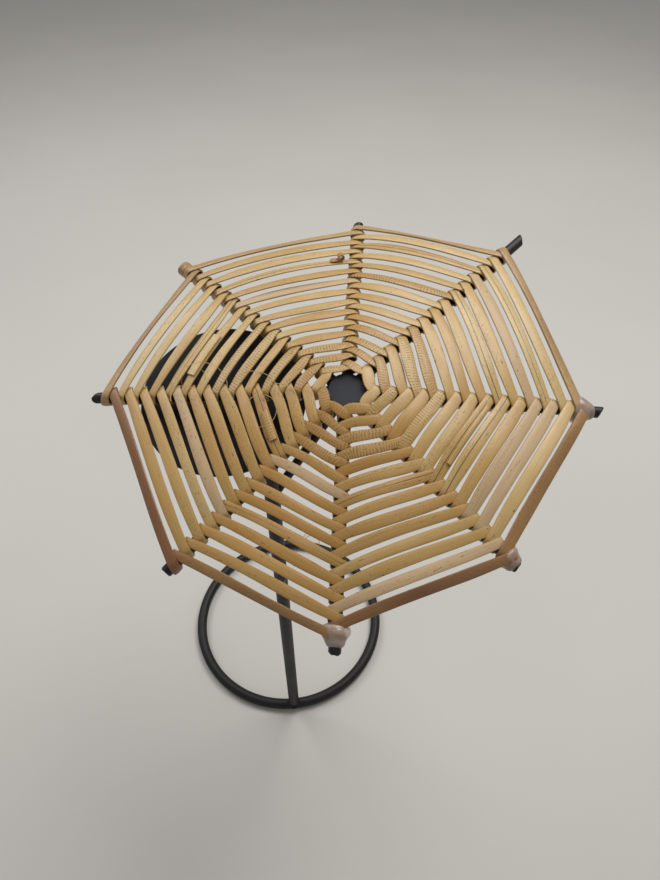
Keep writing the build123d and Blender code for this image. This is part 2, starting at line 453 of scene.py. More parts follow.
def sweep_group():
    """Pulls a cane section along a path that says which way it faces."""
    group, given, result = group_with(
        "sweep_cane",
        [
            ("Width", "NodeSocketFloat"),
            ("Thickness", "NodeSocketFloat"),
            ("Sides", "NodeSocketInt"),
            ("Material", "NodeSocketMaterial"),
        ],
    )
    curve = node(group, "GeometryNodeMeshToCurve", {"Mesh": given.outputs["Geometry"]})
    facing = node(
        group,
        "GeometryNodeSetCurveNormal",
        {"Curve": curve.outputs["Curve"]},
        mode="FREE",
    )
    group.links.new(named(group, "face_dir", "FLOAT_VECTOR"), facing.inputs["Normal"])
    sized = node(group, "GeometryNodeSetCurveRadius", {"Curve": facing.outputs["Curve"]})
    group.links.new(named(group, "girth", "FLOAT"), sized.inputs["Radius"])

    ring = node(
        group,
        "GeometryNodeCurvePrimitiveCircle",
        {"Resolution": given.outputs["Sides"], "Radius": 1.0},
    )
    position = node(group, "GeometryNodeInputPosition").outputs[0]
    place = node(group, "ShaderNodeSeparateXYZ", {0: position})
    x, y = place.outputs["X"], place.outputs["Y"]
    upper = geometry_maths(group, "MAXIMUM", x, 0.0)
    upper = geometry_maths(group, "POWER", upper, CROWN_POWER)
    lower = geometry_maths(group, "MINIMUM", geometry_maths(group, "MAXIMUM", x, FLAT_DEPTH), 0.0)
    upper = geometry_maths(group, "MULTIPLY", upper, CROWN_HEIGHT)
    domed = geometry_maths(group, "ADD", upper, lower)
    half_width = geometry_maths(group, "MULTIPLY", given.outputs["Width"], 0.5)
    shaped = node(
        group,
        "ShaderNodeCombineXYZ",
        {
            "X": geometry_maths(group, "MULTIPLY", domed, given.outputs["Thickness"]),
            "Y": geometry_maths(group, "MULTIPLY", y, half_width),
        },
    )
    marked = node(
        group,
        "GeometryNodeStoreNamedAttribute",
        {"Geometry": ring.outputs["Curve"], "Name": "side", "Value": y},
        data_type="FLOAT",
        domain="POINT",
    )
    section = node(
        group,
        "GeometryNodeSetPosition",
        {"Geometry": marked.outputs["Geometry"], "Position": shaped.outputs[0]},
    )
    swept = node(
        group,
        "GeometryNodeCurveToMesh",
        {
            "Curve": sized.outputs["Curve"],
            "Profile Curve": section.outputs["Geometry"],
            "Fill Caps": True,
        },
    )
    if "Scale" in swept.inputs:  # where the sweep has it, the girth is given here too
        group.links.new(named(group, "girth", "FLOAT"), swept.inputs["Scale"])
    real = node(group, "GeometryNodeRealizeInstances", {"Geometry": swept.outputs["Mesh"]})
    soft = node(group, "GeometryNodeSetShadeSmooth", {"Geometry": real.outputs["Geometry"]})
    edge = node(group, "GeometryNodeInputMeshEdgeAngle").outputs["Unsigned Angle"]
    crisp = node(
        group,
        "GeometryNodeSetShadeSmooth",
        {
            "Geometry": soft.outputs["Geometry"],
            "Selection": geometry_maths(group, "GREATER_THAN", edge, CRISP_EDGE),
            "Shade Smooth": False,
        },
        domain="EDGE",
    )
    finish = node(
        group,
        "GeometryNodeSetMaterial",
        {"Geometry": crisp.outputs["Geometry"], "Material": given.outputs["Material"]},
    )
    group.links.new(finish.outputs["Geometry"], result.inputs["Geometry"])
    return group


SWEEP = sweep_group()


def set_inputs(modifier, group, values):
    """Sets a modifier's inputs by the identifiers of the tree's sockets."""
    for item in group.interface.items_tree:
        if item.item_type == "SOCKET" and item.in_out == "INPUT" and item.name in values:
            modifier[item.identifier] = values[item.name]


def baked(source, name):
    """A plain mesh object of what a source's modifiers make. The source is removed."""
    bpy.context.view_layer.update()
    depsgraph = bpy.context.evaluated_depsgraph_get()
    mesh = bpy.data.meshes.new_from_object(source.evaluated_get(depsgraph))
    made = bpy.data.objects.new(name, mesh)
    bpy.context.collection.objects.link(made)
    bpy.data.objects.remove(source)
    return made


def path_object(name, points, attributes, closed):
    """Edges along a path, with attributes on its points."""
    count = len(points)
    edges = [(i, (i + 1) % count) for i in range(count if closed else count - 1)]
    mesh = bpy.data.meshes.new(name)
    mesh.from_pydata(points, edges, [])
    for label, (kind, values) in attributes.items():
        layer = mesh.attributes.new(label, kind, "POINT")
        if kind == "FLOAT_VECTOR":
            layer.data.foreach_set("vector", [c for v in values for c in v])
        else:
            layer.data.foreach_set("value", values)
    made = bpy.data.objects.new(name, mesh)
    bpy.context.collection.objects.link(made)
    return made


def outward(piece):
    """Turns every face outwards."""
    work = bmesh.new()
    work.from_mesh(piece.data)
    bmesh.ops.recalc_face_normals(work, faces=work.faces)
    work.to_mesh(piece.data)
    work.free()


def sweep(
    name, path, faces, girth, marks, size, material, closed=True, sides=SECTION_SIDES
):
    """A strip of cane on a path. Marks are named values on its points; size is (width, depth)."""
    along = [0.0]
    for a, b in zip(path, path[1:]):
        along.append(along[-1] + (b - a).length)
    attributes = {
        "face_dir": ("FLOAT_VECTOR", faces),
        "girth": ("FLOAT", girth),
        "along": ("FLOAT", along),
    }
    attributes.update({key: ("FLOAT", values) for key, values in marks.items()})
    source = path_object(name + "_path", path, attributes, closed)
    modifier = source.modifiers.new("sweep", "NODES")
    modifier.node_group = SWEEP
    values = {"Width": size[0], "Thickness": size[1], "Sides": sides, "Material": material}
    set_inputs(modifier, SWEEP, values)
    piece = baked(source, name)
    outward(piece)
    return piece


print("sweep nodes:", len(SWEEP.nodes))

# %% [markdown]
# ## Cane as a material
# Split cane keeps the shiny skin of the vine. It is honey coloured, with some pieces paler, pinker
# or more orange. Fine dark fibres run along it, small dark spots mark it, and where it was bent
# hard its skin has cracked across in close lines. Each strip is painted darker at its edges, as
# painted shade. The colour follows the strip, so the shader reads the length along the strip, the
# place across it, and four values painted on the path: a tint, which also carries painted shade
# and light, and how cracked, how dull and how split the skin is.

# %% Cane shader


def attribute(tree, name):
    return node(tree, "ShaderNodeAttribute", attribute_name=name).outputs["Fac"]


def cane_material(name, pale, honey, deep, dull_tone):
    """Glossy split cane. Its marks say how deep, cracked, dull or split a place is."""
    material, tree, shader = new_material(name)
    along, side = attribute(tree, "along"), attribute(tree, "side")
    tint, crack = attribute(tree, "tint"), attribute(tree, "crack")
    dull, split = attribute(tree, "dull"), attribute(tree, "split")
    place = node(tree, "ShaderNodeTexCoord").outputs["Object"]
    strip = node(
        tree,
        "ShaderNodeCombineXYZ",
        {
            "X": maths(tree, "MULTIPLY", along, 60.0),
            "Y": maths(tree, "MULTIPLY", side, 2.6),
            "Z": maths(tree, "MULTIPLY", tint, 7.0),
        },
    ).outputs[0]

    def cloud(vector, scale, detail, roughness=0.6):
        values = {"Vector": vector, "Scale": scale, "Detail": detail, "Roughness": roughness}
        return node(tree, "ShaderNodeTexNoise", values).outputs["Fac"]

    def band(value, low, high):
        return ramp(tree, value, [(low, 0.0), (high, 1.0)])

    tone = maths(tree, "MULTIPLY", cloud(place, 38.0, 3.0), 0.7)
    tone = maths(tree, "ADD", tone, tint)
    tone = maths(tree, "SUBTRACT", tone, 0.35, True)
    colour = ramp(tree, tone, [(0.1, pale), (0.45, honey), (0.95, deep)])
    colour = mix(tree, dull, colour, dull_tone)

    stretched = node(tree, "ShaderNodeMapping", {"Vector": strip, "Scale": (0.4, 4.2, 1.0)})
    fibre = cloud(stretched.outputs[0], 2.3, 6.0, 0.65)
    fibre_tone = ramp(tree, fibre, [(0.32, (0.66, 0.52, 0.38)), (0.56, (1.0, 1.0, 1.0))])
    fibre_amount = maths(tree, "ADD", maths(tree, "MULTIPLY", dull, 0.35), 0.5)
    colour = mix(tree, fibre_amount, colour, fibre_tone, "MULTIPLY")

    # painted shade: both edges of each strip are darkened, where strips meet and the rounded side
    # turns
    edge = maths(tree, "POWER", maths(tree, "ABSOLUTE", side), 12.0)
    colour = mix(tree, maths(tree, "MULTIPLY", edge, 0.55), colour, tuple(c * 0.32 for c in deep))

    lengthwise = node(tree, "ShaderNodeMapping", {"Vector": strip, "Scale": (1.0, 0.1, 1.0)})
    wobble = maths(tree, "MULTIPLY", cloud(lengthwise.outputs[0], 1.4, 2.0), 12.0)
    line = maths(tree, "ADD", maths(tree, "MULTIPLY", along, 2600.0), wobble)
    cut = maths(tree, "POWER", maths(tree, "ABSOLUTE", maths(tree, "SINE", line)), 6.0)
    broken = band(cloud(strip, 2.2, 2.0), 0.4, 0.52)
    cut = maths(tree, "MULTIPLY", maths(tree, "MULTIPLY", cut, broken), crack, True)
    colour = mix(tree, maths(tree, "MULTIPLY", cut, 0.78), colour, tuple(c * 0.25 for c in deep))

    seam = maths(tree, "MULTIPLY", cloud(stretched.outputs[0], 0.7, 2.0), 0.5)
    seam = maths(tree, "ABSOLUTE", maths(tree, "SUBTRACT", maths(tree, "ADD", side, 0.1), seam))
    seam = ramp(tree, seam, [(0.04, 1.0), (0.09, 0.0)])
    seam = maths(tree, "MULTIPLY", seam, split)
    colour = mix(tree, maths(tree, "MULTIPLY", seam, 0.9), colour, tuple(c * 0.18 for c in deep))

    grains = node(tree, "ShaderNodeMapping", {"Vector": strip, "Scale": (9.0, 2.4, 1.0)})
    where = band(cloud(strip, 0.33, 1.0), 0.5, 0.58)
    specks = band(cloud(grains.outputs[0], 1.3, 2.0, 0.7), 0.62, 0.66)
    specks = maths(tree, "MULTIPLY", specks, where)
    lone = band(cloud(grains.outputs[0], 0.6, 1.0, 0.5), 0.745, 0.775)
    fleck = maths(tree, "MAXIMUM", specks, lone)
    colour = mix(tree, maths(tree, "MULTIPLY", fleck, 0.85), colour, (0.045, 0.022, 0.010))
    tree.links.new(colour, shader.inputs["Base Color"])

    rough = maths(tree, "MULTIPLY", fibre, 0.3)
    rough = maths(tree, "ADD", rough, maths(tree, "MULTIPLY", dull, 0.22))
    rough = maths(tree, "ADD", rough, maths(tree, "MULTIPLY", fleck, 0.2))
    rough = maths(tree, "ADD", rough, 0.15, True)
    tree.links.new(rough, shader.inputs["Roughness"])
    shader.inputs["Specular IOR Level"].default_value = 0.6
    shader.inputs["Coat Weight"].default_value = 0.2
    shader.inputs["Coat Roughness"].default_value = 0.18

    height = maths(tree, "SUBTRACT", fibre, maths(tree, "MULTIPLY", cut, 0.9))
    height = maths(tree, "SUBTRACT", height, maths(tree, "MULTIPLY", seam, 1.5))
    bump = node(tree, "ShaderNodeBump", {"Height": height, "Strength": 0.4, "Distance": 0.0003})
    tree.links.new(bump.outputs["Normal"], shader.inputs["Normal"])
    return material


CANE = cane_material(
    "split_cane",
    (0.69, 0.51, 0.235),
    (0.58, 0.375, 0.13),
    (0.50, 0.27, 0.065),
    (0.64, 0.47, 0.28),
)
RIM_CANE = cane_material(
    "rim_cane",
    (0.60, 0.42, 0.19),
    (0.43, 0.25, 0.09),
    (0.27, 0.12, 0.045),
    (0.42, 0.27, 0.15),
)
print("cane shader nodes:", len(CANE.node_tree.nodes))

# %% [markdown]
# ## The 14 turns
# No two lengths of cane match. The innermost turns are deeper in colour and badly cracked, because
# they were bent the most. Further out, single spans are paler, pinker and duller, or split along
# the middle. The rim is brown at the front and pale at the back. Spans on the front of the hat are
# painted deeper and those at the back paler, as painted shade and light. These differences are
# painted on the paths before they are swept.

# %% Weave
DULL_SPANS = {(11, 1), (11, 2), (12, 2), (10, 5), (13, 3), (9, 7), (6, 4)}
SPLIT_SPANS = {(8, 2), (9, 2), (9, 1), (12, 1), (10, 4), (7, 3), (10, 6), (12, 0), (5, 5), (11, 7)}
CRACK_SHARE = 0.42  # how often any other span near the middle is cracked
ALWAYS_CRACKED = {(2, 0), (2, 7), (4, 0), (4, 1), (5, 1), (5, 2), (3, 4), (7, 6), (9, 0)}
# painted shade and light: spans on the front of the hat are made deeper and those at the back paler
SECTOR_TONE_AND_SHADE = (-0.02, 0.0, 0.0, 0.2, 0.5, 0.06, -0.04, -0.04)
RIM_TONES = (0.22, 0.4, 0.72, 0.95, 0.7, 0.95, 0.35, 0.25)
MARK_NAMES = ("tint", "crack", "dull", "split")


def span_marks(turn, index):
    """The tint, crack, dull and split values of one span."""
    inner = 1 - turn.share
    here = (turn.number, index)
    if turn.is_rim:
        return RIM_TONES[index] + CHANCE.uniform(-0.08, 0.08), 0.1, 0.0, 0.0
    # the side's value adds painted shade to the front spans and painted light to the back ones
    tone = 0.3 + 0.36 * inner + CHANCE.uniform(-0.2, 0.2) + SECTOR_TONE_AND_SHADE[index]
    cracked = 0.04 + 0.14 * inner + CHANCE.uniform(-0.04, 0.1)
    if here in ALWAYS_CRACKED or CHANCE.random() < CRACK_SHARE * inner**2:
        cracked = 0.9
    return tone, cracked, 0.85 * (here in DULL_SPANS), 1.0 * (here in SPLIT_SPANS)


def marks_of(turn):
    """Values for each point: each span has its own, and they change only under a wrap."""
    spans = [span_marks(turn, index) for index in range(len(RODS))]
    marks = {name: [] for name in MARK_NAMES}
    for step, place in enumerate(turn.place):
        index = int(place)
        wrap_step = step
        while turn.place[wrap_step - 1] == place and wrap_step > 0:
            wrap_step -= 1
        in_wrap = place == index
        t = smooth((step - wrap_step) / WRAP_STEPS) if in_wrap else 1.0
        for name, old, new in zip(MARK_NAMES, spans[index - 1], spans[index]):
            marks[name].append(old * (1 - t) + new * t)
    return marks


for name, turn in turns.items():
    piece = sweep(
        name.replace("cane_round", "woven_turn"),
        turn.points,
        turn.faces,
        turn.girth,
        marks_of(turn),
        (CANE_WIDTH, RIM_THICKNESS if turn.is_rim else CANE_THICKNESS),
        RIM_CANE if turn.is_rim else CANE,
    )
    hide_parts(name)
    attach(piece, "root")
print("woven turns:", len(turns))

# %% [markdown]
# ## Black iron
# The rods, the disc and the stand are painted black. The paint is uneven, slightly rough, and worn
# to a dull grey-brown in spots. One shader serves for all of them, with the tone and the roughness
# as arguments.

# %% Iron shader


def iron_material(name, dark, light, roughness, lump):
    """Uneven black paint on iron."""
    material, tree, shader = new_material(name)
    place = node(tree, "ShaderNodeTexCoord").outputs["Object"]
    broad = node(tree, "ShaderNodeTexNoise", {"Vector": place, "Scale": 90.0, "Detail": 5.0})
    fine = node(
        tree,
        "ShaderNodeTexNoise",
        {"Vector": place, "Scale": 700.0, "Detail": 4.0, "Roughness": 0.7},
    )
    colour = ramp(tree, broad.outputs["Fac"], [(0.35, dark), (0.7, light)])
    worn = ramp(tree, fine.outputs["Fac"], [(0.66, 0.0), (0.74, 1.0)])
    colour = mix(tree, maths(tree, "MULTIPLY", worn, 0.35), colour, (0.11, 0.09, 0.075))
    tree.links.new(colour, shader.inputs["Base Color"])
    rough = maths(tree, "MULTIPLY", broad.outputs["Fac"], 0.3)
    rough = maths(tree, "ADD", rough, roughness - 0.15, True)
    tree.links.new(rough, shader.inputs["Roughness"])
    height = maths(tree, "MULTIPLY", fine.outputs["Fac"], 0.35)
    height = maths(tree, "ADD", height, broad.outputs["Fac"])
    shader.inputs["Specular IOR Level"].default_value = 0.35
    bump = node(tree, "ShaderNodeBump", {"Height": height, "Strength": lump, "Distance": 0.0004})
    tree.links.new(bump.outputs["Normal"], shader.inputs["Normal"])
    return material


ROD_IRON = iron_material("rod_iron", (0.009, 0.009, 0.010), (0.024, 0.023, 0.022), 0.45, 0.5)
STAND_IRON = iron_material("stand_iron", (0.006, 0.006, 0.006), (0.013, 0.013, 0.013), 0.5, 0.4)
PLATE_IRON = iron_material("plate_iron", (0.014, 0.016, 0.024), (0.028, 0.031, 0.042), 0.55, 0.3)
print("iron shader nodes:", len(ROD_IRON.node_tree.nodes))

# %% [markdown]
# ## Parts that keep their shape
# The plate underneath and the strut are hardly seen. Their plain solids are good enough as they
# are, so they only get their paint.

# %% Put the iron shader on the parts that keep their shape
for name, material in {"under_plate": PLATE_IRON, "hub_strut": STAND_IRON}.items():
    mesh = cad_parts[name].data
    mesh.materials.clear()
    mesh.materials.append(material)
    print("iron on", name)

# %% [markdown]
# ## Rods, disc and stand
# Bars cut and bent by hand are never quite round or straight, and their cut ends are skewed. Each
# bar is built from rings of points that follow its middle line, with a little unevenness in each
# ring, and then closed at both ends.

# %% Skin over rings of points


def skin(name, rings, material, looped=False, sharp=math.radians(40)):
    """A closed mesh over rings of points. A looped skin joins its last ring to its first."""
    count = len(rings[0])
    points = [p for ring in rings for p in ring]
    faces = []
    for r in range(len(rings) if looped else len(rings) - 1):
        here, there = r * count, (r + 1) % len(rings) * count
        for i in range(count):
            j = (i + 1) % count
            faces.append((here + i, here + j, there + j, there + i))
    if not looped:
        for start in (0, (len(rings) - 1) * count):
            points.append(sum((points[start + i] for i in range(count)), Vector()) / count)
            for i in range(count):
                faces.append((start + i, start + (i + 1) % count, len(points) - 1))
    mesh = bpy.data.meshes.new(name)
    mesh.from_pydata(points, [], faces)
    mesh.materials.append(material)
    piece = bpy.data.objects.new(name, mesh)
    bpy.context.collection.objects.link(piece)
    outward(piece)
    for face in mesh.polygons:
        face.use_smooth = True
    mesh.set_sharp_from_angle(angle=sharp)
    return piece


def ring_of(centre, first, second, radius, sides=24):
    """Points round a centre in the plane of two directions. A radius may depend on the angle."""
    points = []
    for i in range(sides):
        angle = 2 * math.pi * i / sides
        reach = radius(angle) if callable(radius) else radius
        points.append(centre + (first * math.cos(angle) + second * math.sin(angle)) * reach)
    return points


def uneven(point, scale, amount):
    """A number just under 1 that changes slowly from place to place."""
    return 1 - amount * (0.5 + 0.5 * noise.noise(point / scale))


def place_piece(piece, slot, *nodes):
    """Hides the frame parts a piece replaces and hangs it on the root. Its slot is not used."""
    if nodes:
        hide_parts(*nodes)
    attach(piece, "root")


print("helpers:", *(made.__name__ for made in (skin, ring_of, uneven, place_piece)))

# %% [markdown]
# ## The eight rods
# The tips were cut by hand, so some are cut askew, and their edges are a little worn.

# %% Rods of the hat
TIP_SKEW = {"upper_right": 0.75, "right": 0.55, "left": 0.8, "bottom": 0.25, "top": 0.3}
TIP_BEVEL = 0.5 * MM


def rod_rings(rod):
    """Rings from the disc's edge to a skewed and bevelled cut end."""
    skew = TIP_SKEW.get(rod.name, 0.15) * rod.radius
    turned = CHANCE.uniform(0, 2 * math.pi)
    rings = []
    steps = int(rod.length / (3 * MM))
    for step in range(steps + 1):
        along = HUB_RADIUS * 0.9 + (rod.length - 2.2 * rod.radius - HUB_RADIUS * 0.9) * step / steps
        centre = HUB + rod.out * along
        rings.append(ring_of(centre, rod.up, rod.across, rod.radius * uneven(centre, 0.006, 0.05)))
    for back, girth in ((TIP_BEVEL, 0.97), (0.0, 0.78)):
        ring = ring_of(HUB + rod.out * (rod.length - back), rod.up, rod.across, rod.radius * girth)
        for i, point in enumerate(ring):
            cut = 1 + math.cos(2 * math.pi * i / len(ring) + turned)
            ring[i] = point - rod.out * (skew * cut + 0.25 * MM * (1 + noise.noise(point / 0.001)))
        rings.append(ring)
    return rings


for rod in RODS:
    piece = skin(f"rod_{rod.name}", rod_rings(rod), ROD_IRON)
    place_piece(piece, "rod_iron", f"rib_{rod.name}")
print("rods:", len(RODS))

# %% [markdown]
# ## The disc in the middle
# The disc has a slight dish and fine turning marks, so it is built as rings round its axis that
# follow a short profile.

# %% Hub disc
HUB_SIDE = UP.orthogonal().normalized()
HUB_AHEAD = UP.cross(HUB_SIDE)
# (share of the radius, share of the half thickness) round the disc's edge and over its top
HUB_PROFILE = ((0.3, -1), (0.93, -1), (0.99, -0.7), (1, 0), (0.99, 0.65), (0.95, 0.93), (0.9, 1))
DISH = 0.12 * MM

hub_rings = []
for share, height in HUB_PROFILE:
    centre = HUB + UP * HUB_HALF * height
    hub_rings.append(ring_of(centre, HUB_SIDE, HUB_AHEAD, HUB_RADIUS * share, 64))
TURNING_MARKS = 26
for step in range(1, TURNING_MARKS):
    share = 0.9 * (1 - step / TURNING_MARKS)
    wave = 0.025 * MM * math.sin(step * 2.4) - DISH * (1 - share)
    centre = HUB + UP * (HUB_HALF - 0.03 * MM + wave)
    hub_rings.append(ring_of(centre, HUB_SIDE, HUB_AHEAD, HUB_RADIUS * share, 64))
place_piece(skin("hub_plate", hub_rings, PLATE_IRON), "plate_iron", "hub_disc")
print("hub disc rings:", len(hub_rings))

# %% [markdown]
# ## The stand
# The stand is two bars of one thickness: one bent into a ring that lies on the table, and one
# upright. The top of the post is cut to the slope of the plate that rests on it.

# %% Ring and post of the stand
ring_low, ring_high = (Vector(corner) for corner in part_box("stand_ring"))
BAR_RADIUS = (ring_high.z - ring_low.z) / 2
RING_RADIUS = (ring_high.x - ring_low.x) / 2 - BAR_RADIUS
RING_MIDDLE = (ring_low + ring_high) / 2
RING_STEPS = 160
Z = Vector((0, 0, 1))

stand_rings = []
for step in range(RING_STEPS):
    angle = 2 * math.pi * step / RING_STEPS
    spoke = Vector((math.cos(angle), math.sin(angle), 0))
    centre = RING_MIDDLE + spoke * RING_RADIUS
    stand_rings.append(ring_of(centre, spoke, Z, BAR_RADIUS * uneven(centre, 0.012, 0.03)))
place_piece(skin("base_ring_bar", stand_rings, STAND_IRON, looped=True), "stand_iron", "stand_ring")

post_low, post_high = (Vector(corner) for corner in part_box("stand_post"))
POST_MIDDLE = (post_low + post_high) / 2
plate_points = vertices_of("under_plate") - np.array(HUB)
plate_under = float((plate_points @ np.array(UP)).min())
POST_STEPS = 90

post_rings = []
X, Y = Vector((1, 0, 0)), Vector((0, 1, 0))
for step in range(POST_STEPS + 1):
    ring = []
    for point in ring_of(Vector((POST_MIDDLE.x, POST_MIDDLE.y, 0)), X, Y, 1.0):
        flat = Vector((point.x - POST_MIDDLE.x, point.y - POST_MIDDLE.y, 0)) * BAR_RADIUS
        foot = Vector((POST_MIDDLE.x, POST_MIDDLE.y, BAR_RADIUS)) + flat
        top = HUB.z + (plate_under - (foot - HUB).dot(UP) + (foot.z - HUB.z) * UP.z) / UP.z
        height = BAR_RADIUS + (top - BAR_RADIUS) * step / POST_STEPS  # up to the plate's underside
        slim = uneven(Vector((0.5, 0.5, height)), 0.014, 0.03)
        ring.append(Vector((POST_MIDDLE.x + flat.x * slim, POST_MIDDLE.y + flat.y * slim, height)))
    post_rings.append(ring)
place_piece(skin("post_bar", post_rings, STAND_IRON), "stand_iron", "stand_post")
print("ring radius mm", round(RING_RADIUS / MM, 1))
print("post top mm", round(post_rings[-1][0].z / MM, 1))

# %% [markdown]
# ## Weld beads
# Two bars are joined by a row of small overlapping lumps of melted metal. The lumps repeat along a
# joint, so a node tree puts a small ball on each point of a path, gives each its own size, and
# makes them real.

# %% Weld bead tree


def bead_group():
    """A lump on each point of a path."""
    group, given, result = group_with(
        "weld_beads",
        [
            ("Size", "NodeSocketFloat"),
            ("Seed", "NodeSocketInt"),
            ("Material", "NodeSocketMaterial"),
        ],
    )
    ball = node(group, "GeometryNodeMeshIcoSphere", {"Subdivisions": 3})
    ball.inputs["Radius"].default_value = 1.0
    seed = given.outputs["Seed"]
    size = node(group, "FunctionNodeRandomValue", {"Seed": seed}, data_type="FLOAT")
    size.inputs[2].default_value = 0.8
    size.inputs[3].default_value = 1.15
    amount = geometry_maths(group, "MULTIPLY", size.outputs[1], given.outputs["Size"])
    even = node(group, "ShaderNodeCombineXYZ", {0: amount, 1: amount, 2: amount})
    lumps = node(
        group,
        "GeometryNodeInstanceOnPoints",
        {
            "Points": given.outputs["Geometry"],
            "Instance": ball.outputs["Mesh"],
            "Scale": even.outputs[0],
        },
    )
    real = node(group, "GeometryNodeRealizeInstances", {"Geometry": lumps.outputs["Instances"]})
    soft = node(group, "GeometryNodeSetShadeSmooth", {"Geometry": real.outputs["Geometry"]})
    finish = node(
        group,
        "GeometryNodeSetMaterial",
        {"Geometry": soft.outputs["Geometry"], "Material": given.outputs["Material"]},
    )
    group.links.new(finish.outputs["Geometry"], result.inputs["Geometry"])
    return group


BEADS = bead_group()


def weld(name, points, size, material):
    """A weld bead along these points, as a plain mesh."""
    source = path_object(name + "_path", points, {}, True)
    modifier = source.modifiers.new("beads", "NODES")
    modifier.node_group = BEADS
    set_inputs(modifier, BEADS, {"Size": size, "Seed": 3, "Material": material})
    return baked(source, name)


print("bead nodes:", len(BEADS.nodes))

# %% [markdown]
# ## Where the welds sit
# One weld goes round the foot of the post, and a short one sits where each rod meets the disc.

# %% Welds of the stand and the hat
POST_BEADS = 18
RIB_BEADS = 7

foot_centre = Vector((POST_MIDDLE.x, POST_MIDDLE.y, 2 * BAR_RADIUS - 0.4 * MM))
bead_points = ring_of(foot_centre, X, Y, BAR_RADIUS + 0.1 * MM, POST_BEADS)
for point in bead_points:
    point.z -= abs(point.y - foot_centre.y) * 0.35
place_piece(weld("post_foot_weld", bead_points, 1.1 * MM, STAND_IRON), "stand_iron", "weld_foot")

bead_points = []
for rod in RODS:
    centre = HUB + rod.out * HUB_RADIUS
    for i in range(RIB_BEADS):
        angle = math.pi * (0.5 + (i + 0.5) / RIB_BEADS)
        spoke = rod.up * math.cos(angle) + rod.across * math.sin(angle)
        bead_points.append(centre + spoke * rod.radius * 0.85)
place_piece(weld("hub_welds", bead_points, 0.75 * MM, ROD_IRON), "rod_iron")
print("weld lumps:", POST_BEADS + len(bead_points))

# %% [markdown]
# ## Loose ends of the cane
# Nobody trims everything. A spare strip lies on top of one turn, a thin one beside another, a tail
# curls up near the top rod, and a cut end shows near the middle. They all follow a turn that is
# already there, so each takes its points from that turn and is swept with the same tree.

# %% Strips that lie on a turn


def part_of_span(number, index, first, last, lift, aside=0.0):
    """Points and faces of one span, from one share of it to another, moved off the turn."""
    turn = turns[ROUNDS[number - 1]]
    path, faces = [], []
    for point, face, place in zip(turn.points, turn.faces, turn.place):
        if index + first <= place <= index + last:
            out = RODS[index].out.lerp(RODS[(index + 1) % len(RODS)].out, place - index)
            path.append(point + face * lift + out * aside)
            faces.append(face)
    return path, faces


def plain_marks(count, tint, crack=0.1, dull=0.0, split=0.0):
    return {key: [value] * count for key, value in zip(MARK_NAMES, (tint, crack, dull, split))}


def loose_strip(name, path, faces, size, tint, node_name=None, crack=0.1, dull=0.0):
    """A strip with square ends, in cane."""
    girth = [1.0] * len(path)
    marks = plain_marks(len(path), tint, crack, dull)
    piece = sweep(name, path, faces, girth, marks, size, CANE, closed=False)
    place_piece(piece, "cane", *([node_name] if node_name else []))
    return piece


RESTING = CANE_THICKNESS * 0.92
path, faces = part_of_span(9, 6, 0.16, 0.64, RESTING, 0.3 * MM)
loose_strip("spare_strip", path, faces, (4.0 * MM, 0.8 * MM), 0.2, "cane_splice_upper_left")
path, faces = part_of_span(8, 2, 0.14, 0.84, RESTING * 0.9, 1.1 * MM)
loose_strip("thin_strip", path, faces, (1.9 * MM, 0.8 * MM), 0.42, "cane_splice_right")
path, faces = part_of_span(5, 5, 0.2, 0.6, RESTING, -0.6 * MM)
loose_strip("cut_end", path, faces, (3.2 * MM, 1.3 * MM), 0.55, "cane_end_lower_left", crack=0.7)
print("a loose strip lies mm above its turn", round(RESTING / MM, 2))

# %% [markdown]
# ## A tail that curls up
# The tail lies on its turn at first and then leaves it in a tight curl, so its path is a piece of
# that turn with a small arc at the end.

# %% The tail that curls up
TAIL_CURL = 1.7 * MM
path, faces = part_of_span(11, 7, 0.78, 0.9, RESTING, 0.4 * MM)
way = (path[-1] - path[-2]).normalized()
up = faces[-1]
start = path[-1]
CURL_STEPS = 16
for step in range(1, CURL_STEPS + 1):
    angle = math.radians(250) * step / CURL_STEPS
    radius = TAIL_CURL * (1 - 0.35 * step / CURL_STEPS)
    offset = way * math.sin(angle) * radius + up * (1 - math.cos(angle)) * radius
    path.append(start + offset)
    faces.append((up * math.cos(angle) - way * math.sin(angle)).normalized())
loose_strip("curled_tail", path, faces, (2.8 * MM, 0.7 * MM), 1.1, "cane_tail_top", crack=0.9)
print("loose strips: 4")

# %% [markdown]
# ## The hollow cane end
# A short tube of cane sits over the shortest rod. It is built from rings on its outside and rings
# on its inside, so that it has a real wall.

# %% Hollow cane end on the shortest rod


def mark_points(piece, key, value_of):
    """Writes a named value on each point of a mesh."""
    layer = piece.data.attributes.new(key, "FLOAT", "POINT")
    layer.data.foreach_set("value", [value_of(vertex.co) for vertex in piece.data.vertices])


sleeve_rod = RODS[NAMES.index("upper_left")]
sleeve_along = (vertices_of("cane_sleeve_upper_left") - np.array(HUB)) @ np.array(sleeve_rod.out)
SLEEVE_START, SLEEVE_END = float(sleeve_along.min()), float(sleeve_along.max())
SLEEVE_OUTER = sleeve_rod.radius + 1.1 * MM
SLEEVE_INNER = sleeve_rod.radius + 0.06 * MM


def sleeve_ring(along, radius, ragged=0.0):
    """An oval ring, with an edge that a knife left uneven."""
    ring = ring_of(
        HUB + sleeve_rod.out * along,
        sleeve_rod.up,
        sleeve_rod.across,
        lambda a: radius * (1 - 0.04 * (1 + math.cos(2 * a))) if radius > SLEEVE_INNER else radius,
        32,
    )
    return [p - sleeve_rod.out * ragged * (1 + noise.noise(p / 0.0012)) for p in ring]


